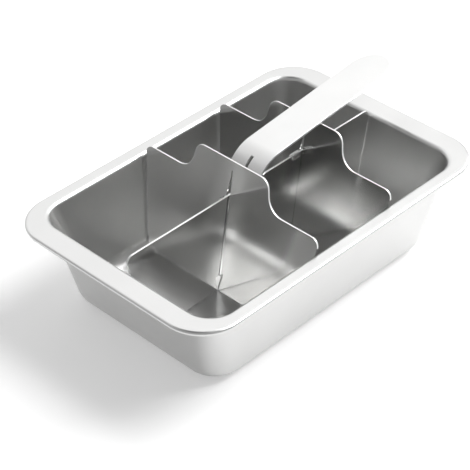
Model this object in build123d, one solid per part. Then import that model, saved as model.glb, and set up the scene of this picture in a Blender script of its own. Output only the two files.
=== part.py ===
from build123d import *
import os
from math import cos, radians, sin, tan

# Ice cube tray with a lever: a drawn steel pan, and a grid that lifts out of it.
# Millimetres. X runs along the tray towards the lever's tip, Z up, origin at the middle of the pan's base.

# Pan, drawn from one sheet. Mouth and base are inner sizes, taken at the rim and at the base plane.
mouth_length = 152.6
mouth_width = 102.2
mouth_corner = 12.0
end_draft = 5.4
side_draft = 7.05
base_corner = 20.0
pan_height = 44.8
pan_sheet = 0.7
base_fillet = 6.3
lip_radius = 2.0
end_flange = 11.2
side_flange = 6.9
rim_corner = 19.0
curl_radius = 1.2
curl_start = 200.0

# Plates of the grid
plate_sheet = 0.8
foot_gap = 0.35
end_gap = 1.0
side_gap = 0.5
cell_pitch = 45.5
grid_offset = 1.0
lean_rest = 9.5
lean_pulled = -5.7
plate_foot_corner = 8.0
top_rise = 2.9
top_corner = 3.0
wing_rise = 5.1
wing_corner = 3.5
bump_rise = 19.0
bump_half_top = 21.0
bump_half_foot = 22.6
bump_corner = 4.5
bump_foot_radius = 4.5
slot_rise = 14.9
slot_gap = 0.4
bridge_height = 7.2
notch_gap = 0.35

# Link bar, folded from thin strip
bar_sheet = 0.6
bar_gap = 0.1
bar_below_top = 0.5
bar_depth = 4.2
fork_gap = 0.25
fork_reach = 2.4
fork_height = 2.6
saddle_length = 5.0
saddle_drop = 2.0
saddle_gap = 0.15
saddle_clear = 2.0
saddle_round = 0.54

# Lever, one strip folded at its root
lever_width = 17.3
lever_sheet = 1.1
lever_rise = 6.27
lever_reach = 93.0
lever_tip_length = 12.5
rest_gap = 0.4
knee_start = 15.2
knee_radius = 16.0
knee_turn = 60.0
leg_gap = 0.9
ear_gap = 0.1
lever_slot_gap = 0.15
lever_slot_end = 8.6
lever_slot_step = 4.4
ear_sheet = 1.1
ear_radius = 3.6
ear_width = 4.4
lever_swing = 80.0

# Drive pin, fixed in the far ear
pin_radius = 1.2
pin_boss = 3.0
pin_play = 0.3
pin_head_radius = 1.9
pin_head_height = 0.7
pin_head_round = 0.42
lug_wall = 1.5
lug_round = 0.9

# Pivot rivet
pivot_from_front = 13.7
pivot_drop = 4.0
rivet_radius = 1.5
rivet_run = 0.05
rivet_head_radius = 2.8
rivet_head_height = 0.9
rivet_head_gap = 0.1
rivet_head_round = 0.6

foot_z = pan_sheet + foot_gap
top_z = pan_height + top_rise
lean_tan = tan(radians(lean_rest))
lean_cos = cos(radians(lean_rest))
front_x = grid_offset - cell_pitch / 2
rear_x = grid_offset + cell_pitch / 2
pivot_x = front_x + pivot_from_front
pivot_z = pan_height - pivot_drop
bar_near_y = plate_sheet / 2 + bar_gap
bar_far_y = bar_near_y + bar_sheet
bar_top_z = top_z - bar_below_top
ear_inner_y = bar_far_y + ear_gap
ear_outer_y = ear_inner_y + ear_sheet
rise_tan = tan(radians(lever_rise))
rise_cos = cos(radians(lever_rise))
fork_middle_z = bar_top_z - bar_depth + fork_height / 2
link_travel = (fork_middle_z - foot_z) * (lean_tan - tan(radians(lean_pulled)))
pin_x = pivot_x + link_travel / 2
pin_rise = link_travel / 2 / tan(radians(lever_swing / 2))
pin_arm = link_travel / 2 / sin(radians(lever_swing / 2))
pin_z = pivot_z + pin_rise


def wall_x(z):
    """Distance of the end wall's inner face from the middle, at height z."""
    return mouth_length / 2 - end_draft * (1 - z / pan_height)


def wall_y(z):
    """Distance of the long wall's inner face from the middle, at height z."""
    return mouth_width / 2 - side_draft * (1 - z / pan_height)


def corner_cut(z, grow):
    """Plan of what lies outside the pan's rounded corner at height z, for a wall grown outwards by grow."""
    share = 1 - z / pan_height
    corner = mouth_corner + (base_corner - mouth_corner) * share + grow
    outer_x = wall_x(z) + grow
    outer_y = wall_y(z) + grow
    square = Pos(outer_x - corner, outer_y - corner) * Rectangle(2 * corner, 2 * corner, align=Align.MIN)
    return Pos(0, 0, z) * (square - Pos(outer_x - corner, outer_y - corner) * Circle(corner))


def drafted_block(low_z, grow):
    """Block between the drafted end walls and the drafted long walls, its corners rounded."""
    ends = Polygon(
        (-wall_x(low_z) - grow, low_z),
        (wall_x(low_z) + grow, low_z),
        (wall_x(pan_height) + grow, pan_height),
        (-wall_x(pan_height) - grow, pan_height),
        align=None,
    )
    sides = Polygon(
        (-wall_y(low_z) - grow, low_z),
        (wall_y(low_z) + grow, low_z),
        (wall_y(pan_height) + grow, pan_height),
        (-wall_y(pan_height) - grow, pan_height),
        align=None,
    )
    block = extrude(Plane.XZ * ends, amount=mouth_width, both=True)
    block &= extrude(Plane.YZ * sides, amount=mouth_length, both=True)
    cut = loft([corner_cut(low_z, grow), corner_cut(pan_height, grow)], ruled=True)
    cut += mirror(cut, Plane.YZ)
    cut += mirror(cut, Plane.XZ)
    return block - cut


def wall_edges(shape, z):
    """Level edges at height z that belong to the pan's wall, not to the flange's outer edge."""
    reach_x = mouth_length / 2 + lip_radius
    reach_y = mouth_width / 2 + lip_radius
    slack = pan_sheet / 100
    found = []
    for edge in shape.edges():
        box = edge.bounding_box()
        level = abs(box.min.Z - z) < slack and abs(box.max.Z - z) < slack
        if level and max(-box.min.X, box.max.X) < reach_x and max(-box.min.Y, box.max.Y) < reach_y:
            found.append(edge)
    return found


def rim_curl():
    """Rolled outer edge: an open ring section carried round the rim."""
    corner = rim_corner - curl_radius
    half_x = mouth_length / 2 + end_flange - curl_radius - corner
    half_y = mouth_width / 2 + side_flange - curl_radius - corner
    ring = Circle(curl_radius) - Circle(curl_radius - pan_sheet)
    reach = 3 * curl_radius
    gap_angle = radians(curl_start)
    gap = Polygon(
        (0, 0),
        (0, reach),
        (-reach, reach),
        (reach * cos(gap_angle), reach * sin(gap_angle)),
        align=None,
    )
    section = Plane.XZ * (Pos(corner, pan_height - curl_radius) * (ring - gap))
    turn = revolve(section, axis=Axis.Z, revolution_arc=90)
    long_run = extrude(Rot(0, 0, 90) * section, amount=2 * half_x, dir=(1, 0, 0))
    short_run = extrude(section, amount=2 * half_y, dir=(0, 1, 0))
    curl = Part()
    for quarter in range(4):
        across = half_x if quarter in (0, 3) else -half_x
        along = half_y if quarter in (0, 1) else -half_y
        curl += Pos(across, along, 0) * Rot(0, 0, 90 * quarter) * turn
    curl += Pos(-half_x, half_y, 0) * long_run
    curl += Rot(0, 0, 180) * Pos(-half_x, half_y, 0) * long_run
    curl += Pos(half_x, -half_y, 0) * short_run
    curl += Rot(0, 0, 180) * Pos(half_x, -half_y, 0) * short_run
    return curl


def pan():
    """Drawn pan: drafted walls, rounded base and mouth, flat flange and rolled edge."""
    block = drafted_block(0, pan_sheet)
    block = fillet(wall_edges(block, 0), base_fillet + pan_sheet)
    flange_length = mouth_length + 2 * end_flange - 2 * curl_radius
    flange_width = mouth_width + 2 * side_flange - 2 * curl_radius
    flange_under = pan_height - pan_sheet
    outline = RectangleRounded(flange_length, flange_width, rim_corner - curl_radius)
    flange = extrude(Pos(0, 0, flange_under) * outline, amount=pan_sheet)
    body = block + flange
    body = fillet(wall_edges(body, flange_under), lip_radius - pan_sheet)
    cavity = drafted_block(pan_sheet, 0)
    cavity = fillet(wall_edges(cavity, pan_sheet), base_fillet)
    body -= cavity
    body = fillet(wall_edges(body, pan_height), lip_radius)
    return body + rim_curl()


def plate_height(z):
    """Distance from a cross divider's foot to height z, measured along the leaning plate."""
    return (z - foot_z) / lean_cos


def cross_divider(foot_x):
    """Cross divider with a raised middle and a closed slot for the centre divider and the link bar."""
    foot_half = wall_y(foot_z) - side_gap
    wing = plate_height(pan_height + wing_rise)
    bump = plate_height(pan_height + bump_rise)
    wing_half = foot_half + (wall_y(pan_height) - wall_y(foot_z)) * wing / plate_height(pan_height)
    right = [
        (foot_half, 0),
        (wing_half, wing),
        (bump_half_foot, wing),
        (bump_half_top, bump),
    ]
    radii = [plate_foot_corner, wing_corner, bump_foot_radius, bump_corner]
    left = [(-y, v) for y, v in reversed(right)]
    outline = FilletPolyline(*right, *left, radius=radii + radii[::-1], close=True)
    slot_near = plate_sheet / 2 + slot_gap
    slot_far = bar_far_y + slot_gap
    slot_top = plate_height(pan_height + slot_rise)
    slot_height = slot_top - bridge_height
    slot = Rectangle(slot_near + slot_far, slot_height)
    slot = Pos((slot_far - slot_near) / 2, bridge_height + slot_height / 2) * slot
    sheet = extrude(Plane.YZ * (make_face(outline) - slot), amount=plate_sheet / 2, both=True)
    return Pos(foot_x, 0, foot_z) * Rot(0, lean_rest, 0) * sheet


def side_sheet(face, low_y, high_y):
    """Sheet of a face drawn in X and Z, from low_y to high_y."""
    return Pos(0, high_y, 0) * extrude(Plane.XZ * face, amount=high_y - low_y)


def bridge_notch(foot_x):
    """Wedge notch in the centre divider's lower edge, where a cross divider's bridge rocks."""
    height = bridge_height + notch_gap
    half = plate_sheet / 2 / lean_cos + notch_gap
    leaning = height * tan(radians(lean_rest))
    pulled = height * tan(radians(lean_pulled))
    return Polygon(
        (foot_x - half, foot_z - height),
        (foot_x - half, foot_z),
        (foot_x - half + pulled, foot_z + height),
        (foot_x + half + leaning, foot_z + height),
        (foot_x + half, foot_z),
        (foot_x + half, foot_z - height),
        align=None,
    )


def centre_divider():
    """Long upright plate, notched over the cross dividers' bridges and pierced for the pivot."""
    foot_half = wall_x(foot_z) - end_gap - grid_offset
    top_half = foot_half + (wall_x(top_z) - wall_x(foot_z))
    right = [(foot_half, foot_z), (top_half, top_z)]
    left = [(-x, z) for x, z in reversed(right)]
    radii = [plate_foot_corner, top_corner]
    outline = FilletPolyline(*right, *left, radius=radii + radii[::-1], close=True)
    face = Pos(grid_offset, 0) * make_face(outline)
    for foot_x in (front_x, rear_x):
        face -= bridge_notch(foot_x)
    face -= Pos(pivot_x, pivot_z) * Circle(rivet_radius)
    return side_sheet(face, -plate_sheet / 2, plate_sheet / 2)


def divider_x(foot_x, z):
    """Middle of a cross divider's sheet at height z."""
    return foot_x + (z - foot_z) * lean_tan


def fork_half():
    """Half the gap between two fork tabs, wide enough for the plate to change its lean."""
    return plate_sheet / 2 / lean_cos + fork_height / 2 * lean_tan + fork_gap


def bar_box(low, high):
    """Box between two corners."""
    size = [b - a for a, b in zip(low, high)]
    return Pos(*low) * Box(*size, align=(Align.MIN, Align.MIN, Align.MIN))


def saddle(low_x):
    """Fold that hangs the link bar over the centre divider's top edge."""
    high_x = low_x + saddle_length
    under = top_z + saddle_gap
    crest = under + bar_sheet
    near_y = -bar_far_y
    fold = bar_box((low_x, near_y, under), (high_x, bar_far_y, crest))
    fold += bar_box((low_x, bar_near_y, bar_top_z), (high_x, bar_far_y, crest))
    fold += bar_box((low_x, near_y, crest - saddle_drop - bar_sheet), (high_x, -bar_near_y, crest))
    ridge = fold.edges().filter_by(Axis.X).group_by(Axis.Z)[-1]
    return fillet(ridge, saddle_round)


def drive_lug():
    """Raised lug of the link bar, before its notch is cut."""
    half = pin_radius + pin_play + lug_wall
    top = pivot_z + pin_arm + pin_radius + pin_play
    lug = bar_box((pin_x - half, bar_near_y, bar_top_z - bar_depth), (pin_x + half, bar_far_y, top))
    upper = [edge for edge in lug.edges().filter_by(Axis.Y) if edge.center().Z > bar_top_z]
    return fillet(upper, lug_round)


def drive_notch():
    """Open notch with a round floor, in which the drive pin rides."""
    half = pin_radius + pin_play
    middle_y = (bar_near_y + bar_far_y) / 2
    floor = Pos(pin_x, middle_y, pin_z) * Rot(90, 0, 0) * Cylinder(half, 2 * bar_sheet)
    return floor + Pos(pin_x, middle_y, pin_z + pin_arm / 2) * Box(2 * half, 2 * bar_sheet, pin_arm)


def link_bar():
    """Strip beside the centre divider whose forks carry both cross dividers together."""
    reach = fork_half() + bar_sheet
    front = divider_x(front_x, fork_middle_z)
    rear = divider_x(rear_x, fork_middle_z)
    bar_low_z = bar_top_z - bar_depth
    bar = bar_box((front - reach, bar_near_y, bar_low_z), (rear + reach, bar_far_y, bar_top_z))
    for plate_x in (front, rear):
        for side in (-1, 1):
            tab_x = plate_x + side * (fork_half() + bar_sheet / 2)
            bar += bar_box(
                (tab_x - bar_sheet / 2, bar_near_y, bar_low_z),
                (tab_x + bar_sheet / 2, bar_far_y + fork_reach, bar_low_z + fork_height),
            )
    crest_x = divider_x(rear_x, top_z + saddle_gap + bar_sheet)
    bar += saddle(crest_x - plate_sheet / 2 / lean_cos - saddle_clear - saddle_length)
    bar += saddle(pin_x + pin_boss + pin_radius + pin_play)
    return bar + drive_lug() - drive_notch()


def lever_top(x):
    """Height of the lever's upper face on its straight run, clear of the rear divider's raised middle."""
    crest_z = pan_height + bump_rise
    crest_x = divider_x(rear_x, crest_z) + plate_sheet / 2 * lean_cos
    touch_z = crest_z + plate_sheet / 2 * sin(radians(lean_rest)) + rest_gap
    return touch_z + lever_sheet / rise_cos + (x - crest_x) * rise_tan


def lever_profile():
    """Side view of the lever strip, straight run, round knee and short leg, with its leg's end and directions."""
    knee_x = pivot_x + knee_start
    along = Vector(rise_cos, sin(radians(lever_rise)))
    up = Vector(-sin(radians(lever_rise)), rise_cos)
    start = Vector(knee_x, lever_top(knee_x))
    tip_x = pivot_x + lever_reach
    tip = Vector(tip_x, lever_top(tip_x))
    centre = start - up * knee_radius
    turn = radians(knee_turn)
    out = up * cos(turn) - along * sin(turn)
    halfway = up * cos(turn / 2) - along * sin(turn / 2)
    down = along * -cos(turn) - up * sin(turn)
    bend = centre + out * knee_radius
    leg_length = (bend.Y - top_z - leg_gap) / -down.Y
    inner = knee_radius - lever_sheet
    leg_end = bend + down * leg_length
    points = [
        Line(tip, start),
        ThreePointArc(start, centre + halfway * knee_radius, bend),
        Line(bend, leg_end),
        Line(leg_end, leg_end - out * lever_sheet),
        Line(leg_end - out * lever_sheet, centre + out * inner),
        ThreePointArc(centre + out * inner, centre + halfway * inner, centre + up * inner),
        Line(centre + up * inner, tip - up * lever_sheet),
        Line(tip - up * lever_sheet, tip),
    ]
    return make_face(Curve() + points), leg_end, down, out


def lever_outline():
    """Plan view of the strip: parallel sides and a long rounded tip."""
    tip_x = pivot_x + lever_reach
    straight = tip_x - lever_tip_length
    body_length = straight - pivot_x + knee_radius
    body = Pos(straight - body_length / 2, 0) * Rectangle(body_length, lever_width)
    return body + Pos(straight, 0) * Ellipse(lever_tip_length, lever_width / 2)


def lever_slot():
    """Opening at the lever's root: wide over the link bar, then only clear of the centre divider."""
    slot_end = pivot_x + lever_slot_end
    step_end = pivot_x + lever_slot_step
    slot_start = pivot_x - knee_radius
    slot_half = plate_sheet / 2 + lever_slot_gap
    top = lever_top(slot_end) + lever_sheet
    slot = bar_box((slot_start, -slot_half, pivot_z), (slot_end, slot_half, top))
    return slot + bar_box((slot_start, -ear_inner_y, pivot_z), (step_end, ear_inner_y, top))


def lever_ear():
    """Side view of the ear that is folded down beside the centre divider to the pivot."""
    leg_end, down, out = lever_profile()[1:]
    root = leg_end - out * lever_sheet
    shoulder = leg_end - down * ear_width
    pivot_boss = Pos(pivot_x, pivot_z) * Circle(ear_radius)
    drive_boss = Pos(pin_x, pin_z) * Circle(pin_boss)
    seams = [Line(leg_end, shoulder), Line(root, shoulder - out * lever_sheet)]
    edges = [pivot_boss.edge(), drive_boss.edge()]
    for seam in seams:
        edges += seam.edges()
    return make_hull(edges)


def lever_handle():
    """Lever: a flat strip bent down at its root, slotted and eared about the pivot."""
    profile = lever_profile()[0]
    strip = side_sheet(profile, -lever_width / 2, lever_width / 2)
    strip &= extrude(lever_outline(), amount=3 * pan_height)
    strip -= lever_slot()
    ear = lever_ear() - Pos(pivot_x, pivot_z) * Circle(rivet_radius + rivet_run)
    drilled = ear - Pos(pin_x, pin_z) * Circle(pin_radius)
    strip += side_sheet(drilled, ear_inner_y, ear_outer_y)
    strip += side_sheet(ear, -ear_outer_y, -ear_inner_y)
    return strip


def round_head(radius, height, edge_round):
    """Low round head that stands on the base plane, its upper edge rounded."""
    head = Pos(0, 0, height / 2) * Cylinder(radius, height)
    return fillet(head.edges().group_by(Axis.Z)[-1], edge_round)


def pivot_rivet():
    """Round rivet through the centre divider, with a low head outside each ear."""
    seat = ear_outer_y + rivet_head_gap
    shank = Rot(90, 0, 0) * Cylinder(rivet_radius, 2 * seat)
    head = round_head(rivet_head_radius, rivet_head_height, rivet_head_round)
    rivet = shank
    for turn in (90, -90):
        rivet += Rot(turn, 0, 0) * Pos(0, 0, seat) * head
    return Pos(pivot_x, 0, pivot_z) * rivet


def drive_pin():
    """Headed stud of the far ear, its inner end riding in the link bar's notch."""
    length = ear_outer_y - bar_near_y
    shank = Pos(0, 0, length / 2) * Cylinder(pin_radius, length)
    pin = shank + Pos(0, 0, length) * round_head(pin_head_radius, pin_head_height, pin_head_round)
    return Pos(pin_x, bar_near_y, pin_z) * Rot(-90, 0, 0) * pin


parts = {
    "pan": pan,
    "centre_divider": centre_divider,
    "cross_divider_front": lambda: cross_divider(front_x),
    "cross_divider_rear": lambda: cross_divider(rear_x),
    "link_bar": link_bar,
    "lever_handle": lever_handle,
    "lever_pivot_rivet": pivot_rivet,
    "drive_pin": drive_pin,
}

os.makedirs("parts", exist_ok=True)
for name, make in parts.items():
    export_step(make(), f"parts/{name}.step")
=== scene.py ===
from math import atan2, cos, hypot, pi, radians, sin, tan

import bmesh
import bpy
import numpy as np
from mathutils import Matrix, Vector


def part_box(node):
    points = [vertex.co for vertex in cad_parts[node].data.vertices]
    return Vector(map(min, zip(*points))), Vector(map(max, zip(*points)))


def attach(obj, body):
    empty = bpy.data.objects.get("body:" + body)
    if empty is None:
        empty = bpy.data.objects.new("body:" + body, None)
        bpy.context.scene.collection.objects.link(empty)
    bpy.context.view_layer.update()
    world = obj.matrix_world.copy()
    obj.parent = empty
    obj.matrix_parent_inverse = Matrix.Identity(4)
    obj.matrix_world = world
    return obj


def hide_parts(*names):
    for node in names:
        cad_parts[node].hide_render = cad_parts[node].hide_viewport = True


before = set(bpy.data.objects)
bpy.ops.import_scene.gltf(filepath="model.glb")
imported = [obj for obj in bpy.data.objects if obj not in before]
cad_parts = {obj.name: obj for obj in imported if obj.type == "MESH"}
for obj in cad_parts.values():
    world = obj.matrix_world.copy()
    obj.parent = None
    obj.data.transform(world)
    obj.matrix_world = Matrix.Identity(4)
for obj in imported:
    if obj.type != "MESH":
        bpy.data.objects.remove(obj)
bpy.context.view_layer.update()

MM = 0.001
WELD = 1e-7

# The pan: half sizes of rim and mouth, corners, how far the walls lean in, and bends
RIM_X, RIM_Y, PAN_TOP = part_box("pan")[1]
SHEET = 0.7 * MM
MOUTH_X, MOUTH_Y = RIM_X - 11.2 * MM, RIM_Y - 6.9 * MM
MOUTH_CORNER, BASE_CORNER, RIM_CORNER = 12 * MM, 13 * MM, 19 * MM
END_INSET, SIDE_INSET = 9 * MM, 7.3 * MM
BASE_FILLET, LIP, CURL = 7.6 * MM, 2 * MM, 1.2 * MM
CURL_TURN = radians(250)

# Points along the pan's profile
FLOOR_STEPS, FILLET_STEPS, WALL_STEPS = 8, 14, 9
LIP_STEPS, FLANGE_STEPS, CURL_STEPS, UNDER_LIP_STEPS = 9, 5, 22, 7

# The grid's plates: half their sheet, the rounding of their edges, and points round them
PLATE_HALF, PLATE_EDGE = 0.4 * MM, 0.1 * MM
EDGE_RINGS, CORNER_STEPS = 5, 9
EDGE_FACES = 2 * EDGE_RINGS - 1
LEAN, LEAN_BACK = radians(9.5), radians(5.7)
DIVIDER_LOW, DIVIDER_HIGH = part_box("centre_divider")
GRID_X = (DIVIDER_LOW.x + DIVIDER_HIGH.x) / 2
FOOT_Z, DIVIDER_TOP = DIVIDER_LOW.z, DIVIDER_HIGH.z
PITCH = 45.5 * MM
FRONT_X, REAR_X = GRID_X - PITCH / 2, GRID_X + PITCH / 2

# The cross dividers: heights, half widths, corners and slot
PLATE_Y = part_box("cross_divider_front")[1].y
WING_Z, BUMP_Z, SLOT_Z = PAN_TOP + 5.1 * MM, PAN_TOP + 19 * MM, PAN_TOP + 14.9 * MM
FOOT_HALF, BUMP_FOOT_HALF, BUMP_TOP_HALF = 43.61 * MM, 23 * MM, 20.4 * MM
FOOT_ROUND, WING_ROUND = 8 * MM, 3.5 * MM
BUMP_FOOT_ROUND, BUMP_TOP_ROUND = 8 * MM, 5 * MM
FAR_GAP = 0.5 * MM
SLOT_LOW, SLOT_FAR, SLOT_FAR_TOP = 7.2 * MM, 1.5 * MM, -0.2 * MM
FRONT_SLOT_NEAR, REAR_SLOT_NEAR = -1.15 * MM, -0.6 * MM

# The centre divider: its wedge notches, corners, and how far its tip end reaches out
NOTCH_HALF, NOTCH_TALL = 0.756 * MM, 7.55 * MM
END_FOOT_ROUND, END_TOP_ROUND = 8 * MM, 3 * MM
TIP_END_REACH = 0.6 * MM

# The pivot and the stud
PIVOT_X, PIVOT_Z = FRONT_X + 13.7 * MM, PAN_TOP - 4 * MM
PIN_X, PIN_Z = (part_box("drive_pin")[0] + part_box("drive_pin")[1]).xz / 2
RIVET_SHANK, RIVET_HEAD, RIVET_GAP = 1.5 * MM, 2.8 * MM, 0.1 * MM
RIVET_RIM, RIVET_CROWN = 0.3 * MM, 0.9 * MM
PIN_SHANK, PIN_HEAD = 1.2 * MM, 1.9 * MM
PIN_RIM, PIN_CROWN = 0.25 * MM, 0.7 * MM

# The lever: a straight leg, a round knee and a straight run up to the tip
LEVER_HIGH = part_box("lever_handle")[1]
LEVER_HALF = LEVER_HIGH.y
LEVER_SHEET, LEVER_EDGE = 1.1 * MM, 0.5 * MM
LEVER_RISE = radians(6.27)
KNEE_RADIUS, KNEE_TURN = 16 * MM, radians(60)
BEND = KNEE_RADIUS * KNEE_TURN
KNEE_X, TIP_X = PIVOT_X + 15.2 * MM, PIVOT_X + 93 * MM
KNEE = np.array([KNEE_X, LEVER_HIGH.z - (TIP_X - KNEE_X) * tan(LEVER_RISE)])
KNEE_LOW = KNEE[1] - KNEE_RADIUS * (cos(LEVER_RISE) - cos(LEVER_RISE + KNEE_TURN))
LEG = (KNEE_LOW - DIVIDER_TOP - 0.9 * MM) / sin(LEVER_RISE + KNEE_TURN)
TIP_LENGTH = 12.5 * MM
LEVER_ROWS, TIP_ROWS = (4, 8, 10, 14, 16), 14
SLOT_HALF, STEP_TURN, SLOT_TURN = 0.7 * MM, radians(14.6), radians(34.8)

# The lever's ears
EAR_INNER, EAR_OUTER, EAR_EDGE = 1.2 * MM, 2.3 * MM, 0.28 * MM
EAR_SEAM, SEAM_ROUND = 4.4 * MM, 0.3 * MM
PIVOT_BOSS, PIN_BOSS = 3.6 * MM, 3 * MM

# The link bar: its sides, its lug and notch, its folds and its fork tabs
LINK_LOW, LINK_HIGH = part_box("link_bar")
BAR_NEAR, BAR_FAR, BAR_EDGE = 0.5 * MM, 1.1 * MM, 0.12 * MM
NOTCH_ROUND, LUG_HALF, LUG_IN, LUG_ROUND = 1.5 * MM, 3 * MM, 2.25 * MM, 0.9 * MM
FOLD_WIDTH, FOLD_BEND, FOLD_DROP = 5 * MM, 0.35 * MM, 2.6 * MM
FOLD_STARTS = (LINK_HIGH.x - 8.186 * MM, PIN_X + 4.5 * MM)
TAB_WIDTH, TAB_REACH, TAB_HALF_GAP = 2.6 * MM, 3.5 * MM, 1.173 * MM
TAB_PLACES = (LINK_LOW.x + 1.473 * MM, LINK_HIGH.x - 1.473 * MM)


# Finishes: how far the roughness strays, and the sizes of the cloudy and slow noises
ROUGH_LOW, ROUGH_HIGH = 0.83, 1.15
CLOUD_SCALE, SLOW_SCALE = 38, 17


def steel(name, colour, rough, grain, stretch, waviness, grain_depth):
    """Bright stainless sheet: fine drawn grain stretched along the sheet, cloudy roughness, a
    slow waviness that bends reflections, and a faint cloudiness of the colour."""
    material = bpy.data.materials.new(name)
    material.use_nodes = True
    nodes, links = material.node_tree.nodes, material.node_tree.links
    shader = nodes["Principled BSDF"]
    shader.inputs["Metallic"].default_value = 1.0
    place = nodes.new("ShaderNodeTexCoord").outputs["Object"]

    def noise(vector, scale, detail):
        texture = nodes.new("ShaderNodeTexNoise")
        texture.inputs["Scale"].default_value = scale
        texture.inputs["Detail"].default_value = detail
        links.new(vector, texture.inputs["Vector"])
        return texture.outputs["Fac"]

    def relief(height, strength, depth):
        bump = nodes.new("ShaderNodeBump")
        bump.inputs["Strength"].default_value = strength
        bump.inputs["Distance"].default_value = depth
        links.new(height, bump.inputs["Height"])
        return bump

    lay = nodes.new("ShaderNodeMapping")
    lay.inputs["Scale"].default_value = stretch
    links.new(place, lay.inputs["Vector"])
    fine = noise(lay.outputs["Vector"], scale=grain, detail=4)
    cloud = noise(place, scale=CLOUD_SCALE, detail=3)
    slow = noise(place, scale=SLOW_SCALE, detail=1)
    mixed = nodes.new("ShaderNodeMath")
    mixed.operation = "MULTIPLY_ADD"
    links.new(fine, mixed.inputs[0])
    mixed.inputs[1].default_value = 0.15
    links.new(cloud, mixed.inputs[2])
    spread = nodes.new("ShaderNodeMapRange")
    spread.inputs["From Min"].default_value = 0.35
    spread.inputs["From Max"].default_value = 0.8
    spread.inputs["To Min"].default_value = rough * ROUGH_LOW
    spread.inputs["To Max"].default_value = rough * ROUGH_HIGH
    links.new(mixed.outputs[0], spread.inputs["Value"])
    links.new(spread.outputs["Result"], shader.inputs["Roughness"])
    tint = nodes.new("ShaderNodeValToRGB")
    tint.color_ramp.elements[0].position = 0.3
    tint.color_ramp.elements[0].color = [c * 0.95 for c in colour] + [1]
    tint.color_ramp.elements[1].position = 0.7
    tint.color_ramp.elements[1].color = list(colour) + [1]
    links.new(cloud, tint.inputs["Fac"])
    links.new(tint.outputs["Color"], shader.inputs["Base Color"])
    wave = relief(slow, 1.0, waviness)
    brushed = relief(fine, 0.25, grain_depth)
    links.new(wave.outputs["Normal"], brushed.inputs["Normal"])
    links.new(brushed.outputs["Normal"], shader.inputs["Normal"])
    return material


# The sheared edges' finish: rougher, as a cut edge is, and brighter than the plates, which is a
# painted highlight; it goes only on the top edges.
CUT_EDGE_HIGHLIGHT_STEEL = steel("cut_edge_painted_highlight_steel", (0.84, 0.84, 0.835), rough=0.5, grain=1200,
                   stretch=(1, 1, 1), waviness=0.004 * MM, grain_depth=0.0002 * MM)
PAN_STEEL = steel("pan_steel", (0.70, 0.70, 0.695), rough=0.34, grain=900,
                  stretch=(1, 1, 1), waviness=0.006 * MM, grain_depth=0.00001 * MM)
PLATE_STEEL = steel("plate_steel", (0.68, 0.68, 0.675), rough=0.12, grain=700,
                    stretch=(1, 0.2, 1), waviness=0.008 * MM, grain_depth=0.0001 * MM)
LEVER_STEEL = steel("lever_steel", (0.76, 0.76, 0.755), rough=0.37, grain=800,
                    stretch=(0.1, 1, 1), waviness=0.008 * MM, grain_depth=0.00012 * MM)
SMALL_STEEL = steel("small_parts_steel", (0.78, 0.78, 0.77), rough=0.2, grain=1500,
                    stretch=(1, 1, 1), waviness=0.002 * MM, grain_depth=0.0006 * MM)


# Meshes

def make_piece(name, points, faces, body, material, stands_for=(), cut=None):
    """A mesh object of points and faces, shaded smooth, riding on its body with its finish.
    Where cut is given, it marks the top edge faces that get the rougher finish of a sheared edge
    in a brighter colour, which is a painted highlight."""
    mesh = bpy.data.meshes.new(name)
    mesh.from_pydata(points.reshape(-1, 3).tolist(), [], faces.tolist())
    mesh.materials.append(material)
    if cut is not None:
        mesh.materials.append(CUT_EDGE_HIGHLIGHT_STEEL)
        mesh.polygons.foreach_set("material_index", cut.astype(np.int32))
    work = bmesh.new()
    work.from_mesh(mesh)
    bmesh.ops.remove_doubles(work, verts=work.verts, dist=WELD)
    bmesh.ops.recalc_face_normals(work, faces=work.faces)
    work.to_mesh(mesh)
    work.free()
    mesh.shade_smooth()
    piece = bpy.data.objects.new(name, mesh)
    bpy.context.scene.collection.objects.link(piece)
    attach(piece, body)
    if stands_for:
        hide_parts(*stands_for)
    return piece


def flat_first(piece):
    """Lets the large faces keep their own normals, so flats stay flat beside rounded edges."""
    finish = piece.modifiers.new("flats", "WEIGHTED_NORMAL")
    finish.mode = "FACE_AREA"
    finish.weight = 90


def turn_up(sheet):
    """Turns an open sheet over if its faces look down on the whole."""
    normals = np.empty(len(sheet.polygons) * 3, np.float32)
    sheet.polygons.foreach_get("normal", normals)
    if normals[2::3].sum() < 0:
        sheet.flip_normals()


def grid_faces(rows, columns, wrap_rows=False, wrap_columns=False):
    """Quads of a grid of points numbered row by row; a wrapped direction joins its last line
    to its first."""
    r = np.arange(rows if wrap_rows else rows - 1)[:, None]
    c = np.arange(columns if wrap_columns else columns - 1)[None, :]
    r2, c2 = (r + 1) % rows, (c + 1) % columns
    corners = [r * columns + c, r * columns + c2, r2 * columns + c2, r2 * columns + c]
    return np.stack(corners, -1).reshape(-1, 4)


def arc(start, end, steps):
    """Unit directions turned evenly from the start angle to the end angle."""
    a = np.linspace(start, end, steps)
    return np.cos(a), np.sin(a)


def between(start, end, steps):
    """The even steps from start to end without the first and the last."""
    return np.linspace(start, end, steps)[1:-1]


def rim_loop(corner_steps=22, run_steps=8):
    """Signs and angles of a rounded rectangle, so that any size of it is
    (cx * (X - R) + R cos a, cy * (Y - R) + R sin a): along a corner only a changes, along a
    run only cx or cy."""
    quarter = np.linspace(0, pi / 2, corner_steps)
    run = between(1, -1, run_steps + 2)
    cx, cy, angle = [], [], []
    for turn, (sx, sy) in enumerate([(1, 1), (-1, 1), (-1, -1), (1, -1)]):
        along_x = turn % 2 == 0
        still_x, still_y = np.full(run_steps, sx), np.full(run_steps, sy)
        cx += [np.full(corner_steps, sx), run * sx if along_x else still_x]
        cy += [np.full(corner_steps, sy), still_y if along_x else run * sy]
        angle += [quarter + turn * pi / 2, np.full(run_steps, (turn + 1) * pi / 2)]
    return np.concatenate(cx), np.concatenate(cy), np.concatenate(angle)


# The pan

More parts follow.
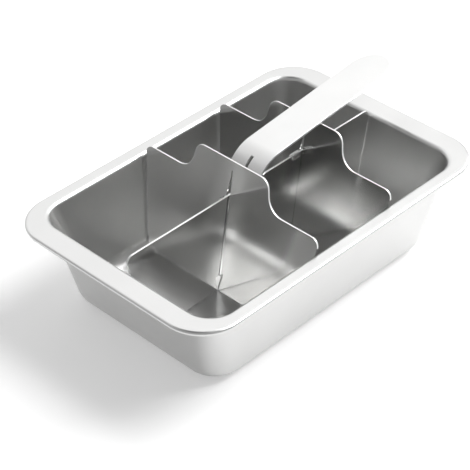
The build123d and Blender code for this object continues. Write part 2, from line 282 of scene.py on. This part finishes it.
def pan_profile(mouth, inset, rim):
    """Half sizes and heights of the pan's sheet from the middle of its floor, up the inside,
    over the lip and flange, round the curl and back down the outside: straight runs joined by
    arcs tangent to them."""
    slope = atan2(inset, PAN_TOP)
    wall = lambda z, grow=0: mouth + grow - inset * (1 - z / PAN_TOP)
    reach, height = [], []

    def add(x, z):
        reach.append(x)
        height.append(np.broadcast_to(z, x.shape))

    def fillet_x(radius, low, grow):
        touch = low + radius * (1 - sin(slope))
        return wall(touch, grow) - radius * cos(slope)

    inner_x = fillet_x(BASE_FILLET, SHEET, 0)
    add(inner_x * np.linspace(0, 1, FLOOR_STEPS)[:-1], SHEET)
    c, s = arc(-pi / 2, -slope, FILLET_STEPS)
    add(inner_x + BASE_FILLET * c, SHEET + BASE_FILLET * (1 + s))
    lip_z = PAN_TOP - LIP
    lip_low = lip_z + LIP * sin(slope)
    lip_x = wall(lip_low) + LIP * cos(slope)
    walls = between(SHEET + BASE_FILLET * (1 - sin(slope)), lip_low, WALL_STEPS)
    add(wall(walls), walls)
    c, s = arc(pi - slope, pi / 2, LIP_STEPS)
    add(lip_x + LIP * c, lip_z + LIP * s)
    curl_x, curl_z = rim - CURL, PAN_TOP - CURL
    add(between(lip_x, curl_x, FLANGE_STEPS), PAN_TOP)
    c, s = arc(pi / 2, pi / 2 - CURL_TURN, CURL_STEPS)
    add(curl_x + CURL * c, curl_z + CURL * s)
    add(curl_x + (CURL - SHEET) * c[::-1], curl_z + (CURL - SHEET) * s[::-1])
    under_radius = LIP - SHEET
    under_z = PAN_TOP - SHEET - under_radius
    under_low = under_z + under_radius * sin(slope)
    under_x = wall(under_low, SHEET) + under_radius * cos(slope)
    add(between(curl_x, under_x, FLANGE_STEPS), PAN_TOP - SHEET)
    c, s = arc(pi / 2, pi - slope, UNDER_LIP_STEPS)
    add(under_x + under_radius * c, under_z + under_radius * s)
    outer_fillet = BASE_FILLET + SHEET
    walls = between(under_low, outer_fillet * (1 - sin(slope)), WALL_STEPS)
    add(wall(walls, SHEET), walls)
    outer_x = fillet_x(outer_fillet, 0, SHEET)
    c, s = arc(-slope, -pi / 2, FILLET_STEPS)
    add(outer_x + outer_fillet * c, outer_fillet * (1 + s))
    add(outer_x * np.linspace(1, 0, FLOOR_STEPS)[1:], 0)
    return np.concatenate(reach), np.concatenate(height)


def corner_radii(reach, height):
    """Corner radius at each step of the end wall's profile: the drafted wall's own, less or
    more where the sheet turns in or out, and shrinking with the outline towards the middle of
    the floor. On the flange it grows evenly from the mouth's corner to the rim's."""
    drafted = BASE_CORNER + (MOUTH_CORNER - BASE_CORNER) * height / PAN_TOP
    wall = MOUTH_X - END_INSET * (1 - height / PAN_TOP)
    shrunk = np.clip(reach / wall, 0, 1) * drafted
    beside = np.where(reach < wall, shrunk, drafted + reach - wall)
    flange = np.clip((reach - MOUTH_X) / (RIM_X - MOUTH_X), 0, 1)
    outer = MOUTH_CORNER + (RIM_CORNER - MOUTH_CORNER) * flange
    on_flange = (height > PAN_TOP - LIP * 2) & (reach > MOUTH_X + SHEET)
    return np.where(on_flange, outer, beside)


def build_pan(material):
    """The pan as one closed sheet: every step of the profile is a rounded rectangle, whose
    height is the end wall's profile at the ends, the long wall's at the sides, and in between
    a blend of the two by the square of the cosine."""
    cx, cy, a = (v[:, None] for v in rim_loop())
    x, zx = pan_profile(MOUTH_X, END_INSET, RIM_X)
    y, zy = pan_profile(MOUTH_Y, SIDE_INSET, RIM_Y)
    r = np.minimum(corner_radii(x, zx), y)
    points = np.stack([
        cx * (x - r) + r * np.cos(a),
        cy * (y - r) + r * np.sin(a),
        zx * np.cos(a) ** 2 + zy * np.sin(a) ** 2,
    ], -1)
    faces = grid_faces(*points.shape[:2], wrap_rows=True)
    flat_first(make_piece("drawn_pan", points, faces, "tray", material, ["pan"]))


# The plates

def plate_rings(stops):
    """Outline and partner line of a plate. Each stop is (p, q, corner radius, partner p,
    partner q); corners are rounded by tangent arcs, and partners move evenly along with the
    outline."""
    stops = [np.array(stop, float) for stop in stops]
    outline, partner = [], []
    for before, here, after in zip(stops[-1:] + stops[:-1], stops, stops[1:] + stops[:1]):
        into, out = here[:2] - before[:2], after[:2] - here[:2]
        step_in, step_out = into / hypot(*into), out / hypot(*out)
        cross = step_in[0] * step_out[1] - step_in[1] * step_out[0]
        turn = atan2(cross, step_in @ step_out)
        if here[2] == 0 or abs(turn) < 1e-6:
            outline.append(here[None, :2])
            partner.append(here[None, 3:])
            continue
        cut = here[2] * tan(abs(turn) / 2)
        side = np.array([-step_in[1], step_in[0]]) * np.sign(turn)
        centre = here[:2] - cut * step_in + here[2] * side
        swing = np.linspace(0, turn, CORNER_STEPS)[:, None]
        spoke = -side * here[2]
        crossed = np.array([-spoke[1], spoke[0]])
        outline.append(centre + spoke * np.cos(swing) + crossed * np.sin(swing))
        share = np.linspace(-1, 1, CORNER_STEPS)[:, None]
        back = (before[3:] - here[3:]) * cut / hypot(*into)
        ahead = (after[3:] - here[3:]) * cut / hypot(*out)
        partner.append(here[3:] + np.where(share < 0, -share * back, share * ahead))
    return np.concatenate(outline), np.concatenate(partner)


def ring_normals(ring):
    """Outward normals of a closed line that runs anticlockwise: square to the mean of the
    directions from the point before and to the point after."""
    before = ring - np.roll(ring, 1, 0)
    after = np.roll(ring, -1, 0) - ring
    size = lambda v: np.maximum(np.hypot(*v.T), 1e-12)[:, None]
    tangent = before / size(before) + after / size(after)
    tangent /= size(tangent)
    return np.stack([tangent[:, 1], -tangent[:, 0]], -1)


def plate_points(outline, partner, half, edge, open_middle):
    """A flat plate as rings round its outline: its face runs from the partner line out to the
    outline, the edge is a quarter circle of radius edge on each side, and the back is the same
    in reverse. An open middle has the same edge round the partner line, a closed one is filled
    there."""
    turn = np.linspace(pi / 2, 0, EDGE_RINGS)
    over = np.concatenate([turn, -turn[::-1]])
    flat = np.where(np.arange(over.size) < EDGE_RINGS, half - edge, edge - half)
    spread = edge * (np.cos(over) - 1)
    rings = outline[:, None] + ring_normals(outline)[:, None] * spread[None, :, None]
    heights = flat + edge * np.sin(over)
    if open_middle:
        into = -ring_normals(partner)
        middle = partner[:, None] - into[:, None] * spread[None, ::-1, None]
        levels = heights[::-1]
    else:
        middle = np.repeat(partner[:, None], 2, 1)
        levels = np.array([-half, half])
    flat_points = np.concatenate([rings, middle], 1)
    rise = np.broadcast_to(np.concatenate([heights, levels]), flat_points.shape[:2])
    if not open_middle:
        flat_points = np.roll(flat_points, 1, 1)
        rise = np.roll(rise, 1, 1)
    return flat_points, rise


def painted_highlight_edges(points, columns, first, level):
    """Marks the faces of a plate's outer edge, whose rings start at column first, where both ends
    of the face stand above level: only these top edges get the bright edge finish, whose brighter
    colour is a painted highlight."""
    height = points[:, first, 2]
    above = np.minimum(height, np.roll(height, -1)) > level
    column = np.arange(columns)
    on_edge = (column >= first) & (column < first + EDGE_FACES)
    return (above[:, None] & on_edge).ravel()


def cross_stops(near):
    """Corners of a cross divider, with partners on the slot: foot, side, wing, raised middle.
    The slot runs across from near to SLOT_FAR, and narrows above the centre divider."""
    wing, bump, high = ((z - FOOT_Z) / cos(LEAN) for z in (WING_Z, BUMP_Z, SLOT_Z))
    side = lambda slot, slot_top, s, gap: [
        (slot, 0, 0, slot, SLOT_LOW),
        (s * FOOT_HALF - gap, 0, FOOT_ROUND, slot, SLOT_LOW + 6 * MM),
        (s * PLATE_Y - gap, wing, WING_ROUND, slot, wing - 12 * MM),
        (s * BUMP_FOOT_HALF, wing, BUMP_FOOT_ROUND, slot, wing - 4 * MM),
        (s * BUMP_TOP_HALF, bump, BUMP_TOP_ROUND, slot_top, high - 3 * MM),
        (slot, bump, 0, slot_top, high),
    ]
    return side(SLOT_FAR, SLOT_FAR_TOP, 1, FAR_GAP) + side(near, near, -1, 0)[::-1]


def build_cross_divider(name, foot_x, slot_near, body, material):
    """A slotted plate drawn flat in Y and its own height, then leaned about its foot."""
    outline, slot = plate_rings(cross_stops(slot_near))
    flat, rise = plate_points(outline, slot, PLATE_HALF, PLATE_EDGE, open_middle=True)
    across, up = flat[..., 0], flat[..., 1]
    points = np.stack([
        foot_x + up * sin(LEAN) + rise * cos(LEAN),
        across,
        FOOT_Z + up * cos(LEAN) - rise * sin(LEAN),
    ], -1)
    rows, columns = points.shape[:2]
    faces = grid_faces(rows, columns, wrap_rows=True, wrap_columns=True)
    # The top edges above the rim get the bright edge finish, a painted highlight.
    cut = painted_highlight_edges(points, columns, 0, PAN_TOP - 1 * MM)
    flat_first(make_piece(name + "_plate", points, faces, body, material, [name], cut))


def centre_stops():
    """Corners of the centre divider in X and Z, with a wedge notch over each cross divider's
    bridge; the partners run along the plate's middle height."""
    top_x = DIVIDER_HIGH.x - GRID_X
    foot_x = top_x - END_INSET * (DIVIDER_TOP - FOOT_Z) / PAN_TOP
    middle = FOOT_Z + 22 * MM
    end = foot_x - 12 * MM
    to_left, to_right = NOTCH_TALL * tan(LEAN_BACK), NOTCH_TALL * tan(LEAN)
    notch_top = FOOT_Z + NOTCH_TALL
    notch_partners = (-4.2, -2, 2.6, 5.6)
    stops = []
    for notch in (-PITCH / 2, PITCH / 2):
        a, b, c, d = (notch + x * MM for x in notch_partners)
        stops += [
            (notch - NOTCH_HALF, FOOT_Z, 0, a, middle),
            (notch - NOTCH_HALF - to_left, notch_top, 0, b, middle),
            (notch + NOTCH_HALF + to_right, notch_top, 0, c, middle),
            (notch + NOTCH_HALF, FOOT_Z, 0, d, middle),
        ]
    stops += [
        (foot_x + TIP_END_REACH, FOOT_Z, END_FOOT_ROUND, end, middle),
        (top_x + TIP_END_REACH, DIVIDER_TOP, END_TOP_ROUND, end, middle),
        (end, DIVIDER_TOP, 0, end, middle),
    ]
    for notch in (PITCH / 2, -PITCH / 2):
        for x in notch_partners[::-1]:
            stops.append((notch + x * MM, DIVIDER_TOP, 0, notch + x * MM, middle))
    return stops + [
        (-end, DIVIDER_TOP, 0, -end, middle),
        (-top_x, DIVIDER_TOP, END_TOP_ROUND, -end, middle),
        (-foot_x, FOOT_Z, END_FOOT_ROUND, -end, middle),
    ]


def build_centre_divider(material):
    """The long upright plate, drawn in X and Z about its own middle line."""
    outline, middle = plate_rings(centre_stops())
    flat, rise = plate_points(outline, middle, PLATE_HALF, PLATE_EDGE, open_middle=False)
    points = np.stack([GRID_X + flat[..., 0], -rise, flat[..., 1]], -1)
    rows, columns = points.shape[:2]
    faces = grid_faces(rows, columns, wrap_rows=True)
    # The top edges near the divider's top get the bright edge finish, a painted highlight.
    cut = painted_highlight_edges(points, columns - 1, 1, DIVIDER_TOP - 4 * MM)
    flat_first(make_piece(
        "centre_plate", points, faces, "grid", material, ["centre_divider"], cut))


# The lever

def lever_line(s):
    """Point and upward normal of the lever's upper face at distance s from its low end: the
    straight leg, the round knee, then the long straight run that rises gently to the tip."""
    turned = np.clip((s - LEG) / KNEE_RADIUS, 0, KNEE_TURN)
    slope = LEVER_RISE + KNEE_TURN - turned
    centre = KNEE - KNEE_RADIUS * np.array([-sin(LEVER_RISE), cos(LEVER_RISE)])
    up = np.stack([-np.sin(slope), np.cos(slope)], -1)
    along = np.stack([np.cos(slope), np.sin(slope)], -1)
    before = np.minimum(s - LEG, 0)[:, None]
    after = np.maximum(s - LEG - BEND, 0)[:, None]
    return centre + KNEE_RADIUS * up + along * (before + after), up


def build_lever(material):
    """The lever's strip: rows across it follow the bent line from the low end to the tip, and
    columns run lengthwise. The tip is a half ellipse, filled by the square-to-disc mapping,
    and the slot's faces are left out."""
    run_start = LEG + BEND
    run_end = run_start + ((TIP_X - KNEE_X) / cos(LEVER_RISE) - TIP_LENGTH)
    step_end = LEG + KNEE_RADIUS * STEP_TURN
    slot_end = LEG + KNEE_RADIUS * SLOT_TURN
    marks = (0, LEG, step_end, slot_end, run_start, run_end)
    spans = zip(marks, marks[1:], LEVER_ROWS)
    rows = np.concatenate([[0]] + [np.linspace(*span)[1:] for span in spans])
    narrow, wide = SLOT_HALF / LEVER_HALF, EAR_INNER / LEVER_HALF
    side = np.concatenate([[narrow], np.linspace(wide, 1, 8)])
    across = np.concatenate([-side[::-1], [0], side])
    tip = np.linspace(0, 1, TIP_ROWS)[1:, None]
    tip_s = run_end + TIP_LENGTH * tip * np.sqrt(1 - across[None, :] ** 2 / 2)
    tip_y = LEVER_HALF * across[None, :] * np.sqrt(1 - tip ** 2 / 2)
    s = np.concatenate([np.repeat(rows[:, None], across.size, 1), tip_s])
    y = np.concatenate([np.repeat(LEVER_HALF * across[None, :], rows.size, 0), tip_y])
    line, _ = lever_line(s.ravel())
    points = np.stack([line[:, 0], y.ravel(), line[:, 1]], -1)
    faces = grid_faces(*s.shape)
    centre = y.ravel()[faces].mean(1)
    ahead = s.ravel()[faces].mean(1)
    beyond_step = np.where(ahead < slot_end, narrow, 0)
    open_half = np.where(ahead < step_end, wide, beyond_step) * LEVER_HALF
    keep = faces[np.abs(centre) > open_half - 1e-9]
    used, keep = np.unique(keep, return_inverse=True)
    piece = make_piece(
        "lever_strip", points[used], keep.reshape(-1, 4), "lever", material,
        ["lever_handle"])
    turn_up(piece.data)
    wall = piece.modifiers.new("thickness", "SOLIDIFY")
    wall.thickness = LEVER_SHEET
    wall.offset = -1
    wall.use_even_offset = True
    round_edge = piece.modifiers.new("eased_edges", "BEVEL")
    round_edge.width = LEVER_EDGE
    round_edge.segments = 5
    round_edge.limit_method = "ANGLE"
    round_edge.angle_limit = radians(50)
    flat_first(piece)


def build_ears(material):
    """The two ears that fold down from the lever's leg to the pivot. The outline is the hull
    of the pivot's boss, the stud's boss and the leg's low end: at each heading, the point that
    reaches farthest that way."""
    seam, up = lever_line(np.array([0, EAR_SEAM]))
    bosses = np.array([(PIVOT_X, PIVOT_Z), (PIN_X, PIN_Z)])
    corners = np.concatenate([seam, seam - up * LEVER_SHEET])
    corners += (bosses.mean(0) - corners) * 0.04
    middles = np.concatenate([bosses, corners])
    radii = np.array([PIVOT_BOSS, PIN_BOSS] + [SEAM_ROUND] * len(corners))
    heading = np.linspace(0, 2 * pi, 120, endpoint=False)
    way = np.stack([np.cos(heading), np.sin(heading)], -1)
    far = np.argmax(way @ middles.T + radii, 1)
    outline = middles[far] + radii[far, None] * way
    partner = np.repeat(outline.mean(0)[None], len(outline), 0)
    half, middle = (EAR_OUTER - EAR_INNER) / 2, (EAR_OUTER + EAR_INNER) / 2
    flat, rise = plate_points(outline, partner, half, EAR_EDGE, open_middle=False)
    faces = grid_faces(*flat.shape[:2], wrap_rows=True)
    for name, side in (("far_ear", 1), ("near_ear", -1)):
        points = np.stack([flat[..., 0], side * middle - rise, flat[..., 1]], -1)
        flat_first(make_piece(name, points, faces, "lever", material))


# Small parts

def joined(shells):
    """Points and faces of several closed shells as one."""
    sizes = [len(points.reshape(-1, 3)) for points, _ in shells]
    starts = np.cumsum([0] + sizes[:-1])
    points = np.concatenate([points.reshape(-1, 3) for points, _ in shells])
    return points, np.concatenate([faces + start for (_, faces), start in zip(shells, starts)])


def carried(path, across, width, thick):
    """A strip of sheet: a rectangle with rounded edges, thick by width, carried along the path
    with its width along across and its thickness square to both; each end closes to the path's
    end point."""
    cx, cy, a = rim_loop(corner_steps=5, run_steps=1)
    u = cx * (width / 2 - BAR_EDGE) + BAR_EDGE * np.cos(a)
    v = cy * (thick / 2 - BAR_EDGE) + BAR_EDGE * np.sin(a)
    along = np.gradient(path, axis=0)
    along /= np.linalg.norm(along, axis=1)[:, None]
    across = np.asarray(across, float)
    over = np.cross(along, across)
    rings = path[:, None] + across * u[None, :, None] + over[:, None] * v[None, :, None]
    ends = [np.repeat(path[k][None, None], len(u), 1) for k in (0, -1)]
    points = np.concatenate([ends[0], rings, ends[1]])
    return points, grid_faces(*points.shape[:2], wrap_columns=True)


def turned(centre_x, centre_z, reach, radius):
    """A surface of revolution about a line along Y: at each reach in Y, a circle of the given
    radius."""
    a = np.linspace(0, 2 * pi, 48, endpoint=False)[None, :]
    r = radius[:, None]
    y = np.repeat(reach[:, None], a.size, 1)
    points = np.stack([centre_x + r * np.cos(a), y, centre_z + r * np.sin(a)], -1)
    return points, grid_faces(*points.shape[:2], wrap_columns=True)


def button(radius, rim, crown):
    """Reach and radius of a low domed head from its rim to the middle of its crown, by a
    quarter ellipse."""
    a = np.linspace(0, pi / 2, 12)
    return rim + (crown - rim) * np.sin(a), radius * np.cos(a)


def build_rivet(material):
    """Round rivet with a domed head outside each ear."""
    seat = EAR_OUTER + RIVET_GAP
    reach, radius = button(RIVET_HEAD, seat + RIVET_RIM, seat + RIVET_CROWN)
    reach = np.concatenate([[0, seat, seat], reach])
    radius = np.concatenate([[RIVET_SHANK, RIVET_SHANK, RIVET_HEAD], radius])
    reach = np.concatenate([-reach[:0:-1], reach])
    radius = np.concatenate([radius[:0:-1], radius])
    points, faces = turned(PIVOT_X, PIVOT_Z, reach, radius)
    flat_first(make_piece(
        "pivot_rivet", points, faces, "grid", material, ["lever_pivot_rivet"]))


def build_pin(material):
    """Headed stud of the far ear: a shank into the link bar's notch and a domed head outside."""
    reach, radius = button(PIN_HEAD, EAR_OUTER + PIN_RIM, EAR_OUTER + PIN_CROWN)
    reach = np.concatenate([[BAR_NEAR, BAR_NEAR, EAR_OUTER, EAR_OUTER], reach])
    radius = np.concatenate([[0, PIN_SHANK, PIN_SHANK, PIN_HEAD], radius])
    points, faces = turned(PIN_X, PIN_Z, reach, radius)
    flat_first(make_piece(
        "drive_stud", points, faces, "lever", material, ["drive_pin"]))


def bar_plate():
    """The link bar's strip with its raised lug, and the lug's open notch with a round floor;
    the partners stand on one line along the strip's middle."""
    low, high = LINK_LOW.x, LINK_HIGH.x
    under, top, crest = LINK_LOW.z, DIVIDER_TOP - 0.5 * MM, LINK_HIGH.z
    middle = (under + top) / 2 - 0.4 * MM
    left, right = PIN_X - LUG_IN, PIN_X + LUG_IN
    low_in, high_in = low + 2 * MM, high - 2 * MM
    turn = np.linspace(0, pi, 13)
    floor_in = [right] * 6 + [PIN_X] + [left] * 6
    floor = [
        (PIN_X + NOTCH_ROUND * cos(a), PIN_Z - NOTCH_ROUND * sin(a), 0, x_in, middle)
        for a, x_in in zip(turn, floor_in)
    ]
    stops = [
        (low, under, 0, low_in, middle),
        (left, under, 0, left, middle),
        (PIN_X, under, 0, PIN_X, middle),
        (right, under, 0, right, middle),
        (high, under, 0, high_in, middle),
        (high, top, 0, high_in, middle),
        (PIN_X + LUG_HALF, top, 0, right, middle),
        (PIN_X + LUG_HALF, crest, LUG_ROUND, right, middle),
        (PIN_X + NOTCH_ROUND, crest, 0, right, middle),
        *floor,
        (PIN_X - NOTCH_ROUND, crest, 0, left, middle),
        (PIN_X - LUG_HALF, crest, LUG_ROUND, left, middle),
        (PIN_X - LUG_HALF, top, 0, left, middle),
        (low, top, 0, low_in, middle),
    ]
    half = (BAR_FAR - BAR_NEAR) / 2
    flat, rise = plate_points(*plate_rings(stops), half, BAR_EDGE, open_middle=False)
    points = np.stack([flat[..., 0], BAR_NEAR + half - rise, flat[..., 1]], -1)
    return points, grid_faces(*points.shape[:2], wrap_rows=True)


def build_link_bar(material):
    """Link bar: the strip, two folds that hang it over the centre divider, and the fork tabs
    that hold the cross dividers. A fold's path runs up one side, round two quarter circles and
    down the other."""
    thick = BAR_FAR - BAR_NEAR
    middle_y = (BAR_FAR + BAR_NEAR) / 2
    crest = DIVIDER_TOP + 0.15 * MM + thick / 2
    shells = [bar_plate()]
    c, s = arc(0, pi / 2, 7)
    half_y = np.concatenate([[middle_y], middle_y - FOLD_BEND + FOLD_BEND * c, [0]])
    half_z = np.concatenate([[DIVIDER_TOP - 1.4 * MM], crest - FOLD_BEND + FOLD_BEND * s, [crest]])
    drop = crest + thick / 2 - FOLD_DROP
    y = np.concatenate([half_y, -half_y[-2::-1]])
    z = np.concatenate([half_z, half_z[-2:0:-1], [drop]])
    for fold_x in FOLD_STARTS:
        path = np.stack([np.full(y.size, fold_x + FOLD_WIDTH / 2), y, z], -1)
        shells.append(carried(path, (1, 0, 0), FOLD_WIDTH, thick))
    reach = np.array([middle_y, 2 * MM, TAB_REACH])
    level = LINK_LOW.z + TAB_WIDTH / 2
    for plate_x in TAB_PLACES:
        for side in (-1, 1):
            tab_x = plate_x + side * TAB_HALF_GAP
            path = np.stack([np.full(3, tab_x), reach, np.full(3, level)], -1)
            shells.append(carried(path, (0, 0, 1), TAB_WIDTH, thick))
    points, faces = joined(shells)
    flat_first(make_piece(
        "folded_link_bar", points, faces, "link", material, ["link_bar"]))


# The setting: what the floor adds for the camera and for the metal, the even fill, and the
# levels of the walls and ceiling that the metal mirrors
FLOOR_REACH, FLOOR_SEEN, FLOOR_MIRRORED = 6.0, 0.3, 0.24
FILL, NEAR_WALLS, FAR_WALLS, CEILING = 0.35, 0.42, 0.74, 0.03
TRAY_MIDDLE = Vector((0, 0, 0.03))


def lamp(name, place, size, power):
    """A soft panel light facing the middle of the tray."""
    data = bpy.data.lights.new(name, "AREA")
    data.shape = "RECTANGLE"
    data.size, data.size_y = size
    data.energy = power
    panel = bpy.data.objects.new(name, data)
    bpy.context.scene.collection.objects.link(panel)
    away = Vector(place) - TRAY_MIDDLE
    turn = away.to_track_quat("Z", "Y").to_matrix().to_4x4()
    panel.matrix_world = Matrix.Translation(place) @ turn


def build_floor():
    """A pale floor that catches the tray's shadow; what the camera and the metal see of it is
    lifted towards white."""
    mesh = bpy.data.meshes.new("floor")
    reach = FLOOR_REACH
    corners = [(-reach, -reach, 0), (reach, -reach, 0), (reach, reach, 0), (-reach, reach, 0)]
    mesh.from_pydata(corners, [], [(0, 1, 2, 3)])
    floor = bpy.data.objects.new("floor", mesh)
    bpy.context.scene.collection.objects.link(floor)
    material = bpy.data.materials.new("pale_floor")
    material.use_nodes = True
    nodes, links = material.node_tree.nodes, material.node_tree.links
    shader = nodes["Principled BSDF"]
    shader.inputs["Base Color"].default_value = (0.8, 0.8, 0.8, 1)
    shader.inputs["Roughness"].default_value = 0.9
    shader.inputs["Specular IOR Level"].default_value = 0
    shader.inputs["Emission Color"].default_value = (1, 1, 1, 1)
    rays = nodes.new("ShaderNodeLightPath")
    mirrored = nodes.new("ShaderNodeMath")
    mirrored.operation = "MULTIPLY"
    links.new(rays.outputs["Is Glossy Ray"], mirrored.inputs[0])
    mirrored.inputs[1].default_value = FLOOR_MIRRORED
    lift = nodes.new("ShaderNodeMath")
    lift.operation = "MULTIPLY_ADD"
    links.new(rays.outputs["Is Camera Ray"], lift.inputs[0])
    lift.inputs[1].default_value = FLOOR_SEEN
    links.new(mirrored.outputs[0], lift.inputs[2])
    links.new(lift.outputs[0], shader.inputs["Emission Strength"])
    mesh.materials.append(material)


def build_world():
    """Studio light: plain white to the camera and an even fill for the shadows. The metal
    mirrors a ring of walls under a dark ceiling, brighter towards the far side."""
    world = bpy.data.worlds.new("studio")
    bpy.context.scene.world = world
    world.use_nodes = True
    nodes, links = world.node_tree.nodes, world.node_tree.links
    back = nodes["Background"]
    back.inputs["Color"].default_value = (1, 1, 1, 1)
    rays = nodes.new("ShaderNodeLightPath")
    place = nodes.new("ShaderNodeTexCoord").outputs["Generated"]
    parts = nodes.new("ShaderNodeSeparateXYZ")
    links.new(place, parts.inputs[0])

    def fade(value, start, end):
        ramp = nodes.new("ShaderNodeMapRange")
        ramp.interpolation_type = "SMOOTHSTEP"
        ramp.inputs["From Min"].default_value = start
        ramp.inputs["From Max"].default_value = end
        links.new(value, ramp.inputs["Value"])
        return ramp

    room = fade(parts.outputs["Z"], 0.80, 0.97)
    side = nodes.new("ShaderNodeVectorMath")
    side.operation = "DOT_PRODUCT"
    side.inputs[1].default_value = (0.7, 0.7, 0)
    links.new(place, side.inputs[0])
    walls = fade(side.outputs["Value"], -0.4, 0.6)
    walls.inputs["To Min"].default_value = NEAR_WALLS
    walls.inputs["To Max"].default_value = FAR_WALLS
    links.new(walls.outputs["Result"], room.inputs["To Min"])
    room.inputs["To Max"].default_value = CEILING
    mirrored = nodes.new("ShaderNodeMix")
    mirrored.inputs[2].default_value = FILL
    links.new(rays.outputs["Is Glossy Ray"], mirrored.inputs[0])
    links.new(room.outputs["Result"], mirrored.inputs[3])
    level = nodes.new("ShaderNodeMix")
    level.inputs[3].default_value = 1.0
    links.new(rays.outputs["Is Camera Ray"], level.inputs[0])
    links.new(mirrored.outputs[0], level.inputs[2])
    links.new(level.outputs[0], back.inputs["Strength"])


def build_camera():
    """The photograph's view, found from the rim, the body, the dividers and the lever."""
    right = (0.697149, -0.716835, -0.011451)
    up = (0.444185, 0.419339, 0.791741)
    ahead = (0.562746, 0.557048, -0.610749)
    place = (-0.43897, -0.42393, 0.48935)
    data = bpy.data.cameras.new("camera")
    data.lens = 136.04
    data.sensor_width = 36
    data.clip_start = 0.01
    camera = bpy.data.objects.new("camera", data)
    bpy.context.scene.collection.objects.link(camera)
    rows = [(right[i], up[i], -ahead[i], place[i]) for i in range(3)]
    camera.matrix_world = Matrix(rows + [(0, 0, 0, 1)])
    bpy.context.scene.camera = camera


build_pan(PAN_STEEL)
build_cross_divider("cross_divider_front", FRONT_X, FRONT_SLOT_NEAR, "front_plate", PLATE_STEEL)
build_cross_divider("cross_divider_rear", REAR_X, REAR_SLOT_NEAR, "rear_plate", PLATE_STEEL)
build_centre_divider(PLATE_STEEL)
build_lever(LEVER_STEEL)
build_ears(LEVER_STEEL)
build_rivet(SMALL_STEEL)
build_pin(SMALL_STEEL)
build_link_bar(SMALL_STEEL)

build_floor()
build_world()
build_camera()
lamp("key_panel", (0.95, -0.4, 1.2), (1.1, 1.1), 33)
lamp("back_panel", (0.4, 0.98, 1.12), (2.2, 1.3), 4.9)

scene = bpy.context.scene
scene.view_settings.view_transform = "Standard"
scene.cycles.max_bounces = 20
scene.cycles.glossy_bounces = 20
scene.cycles.sample_clamp_indirect = 4
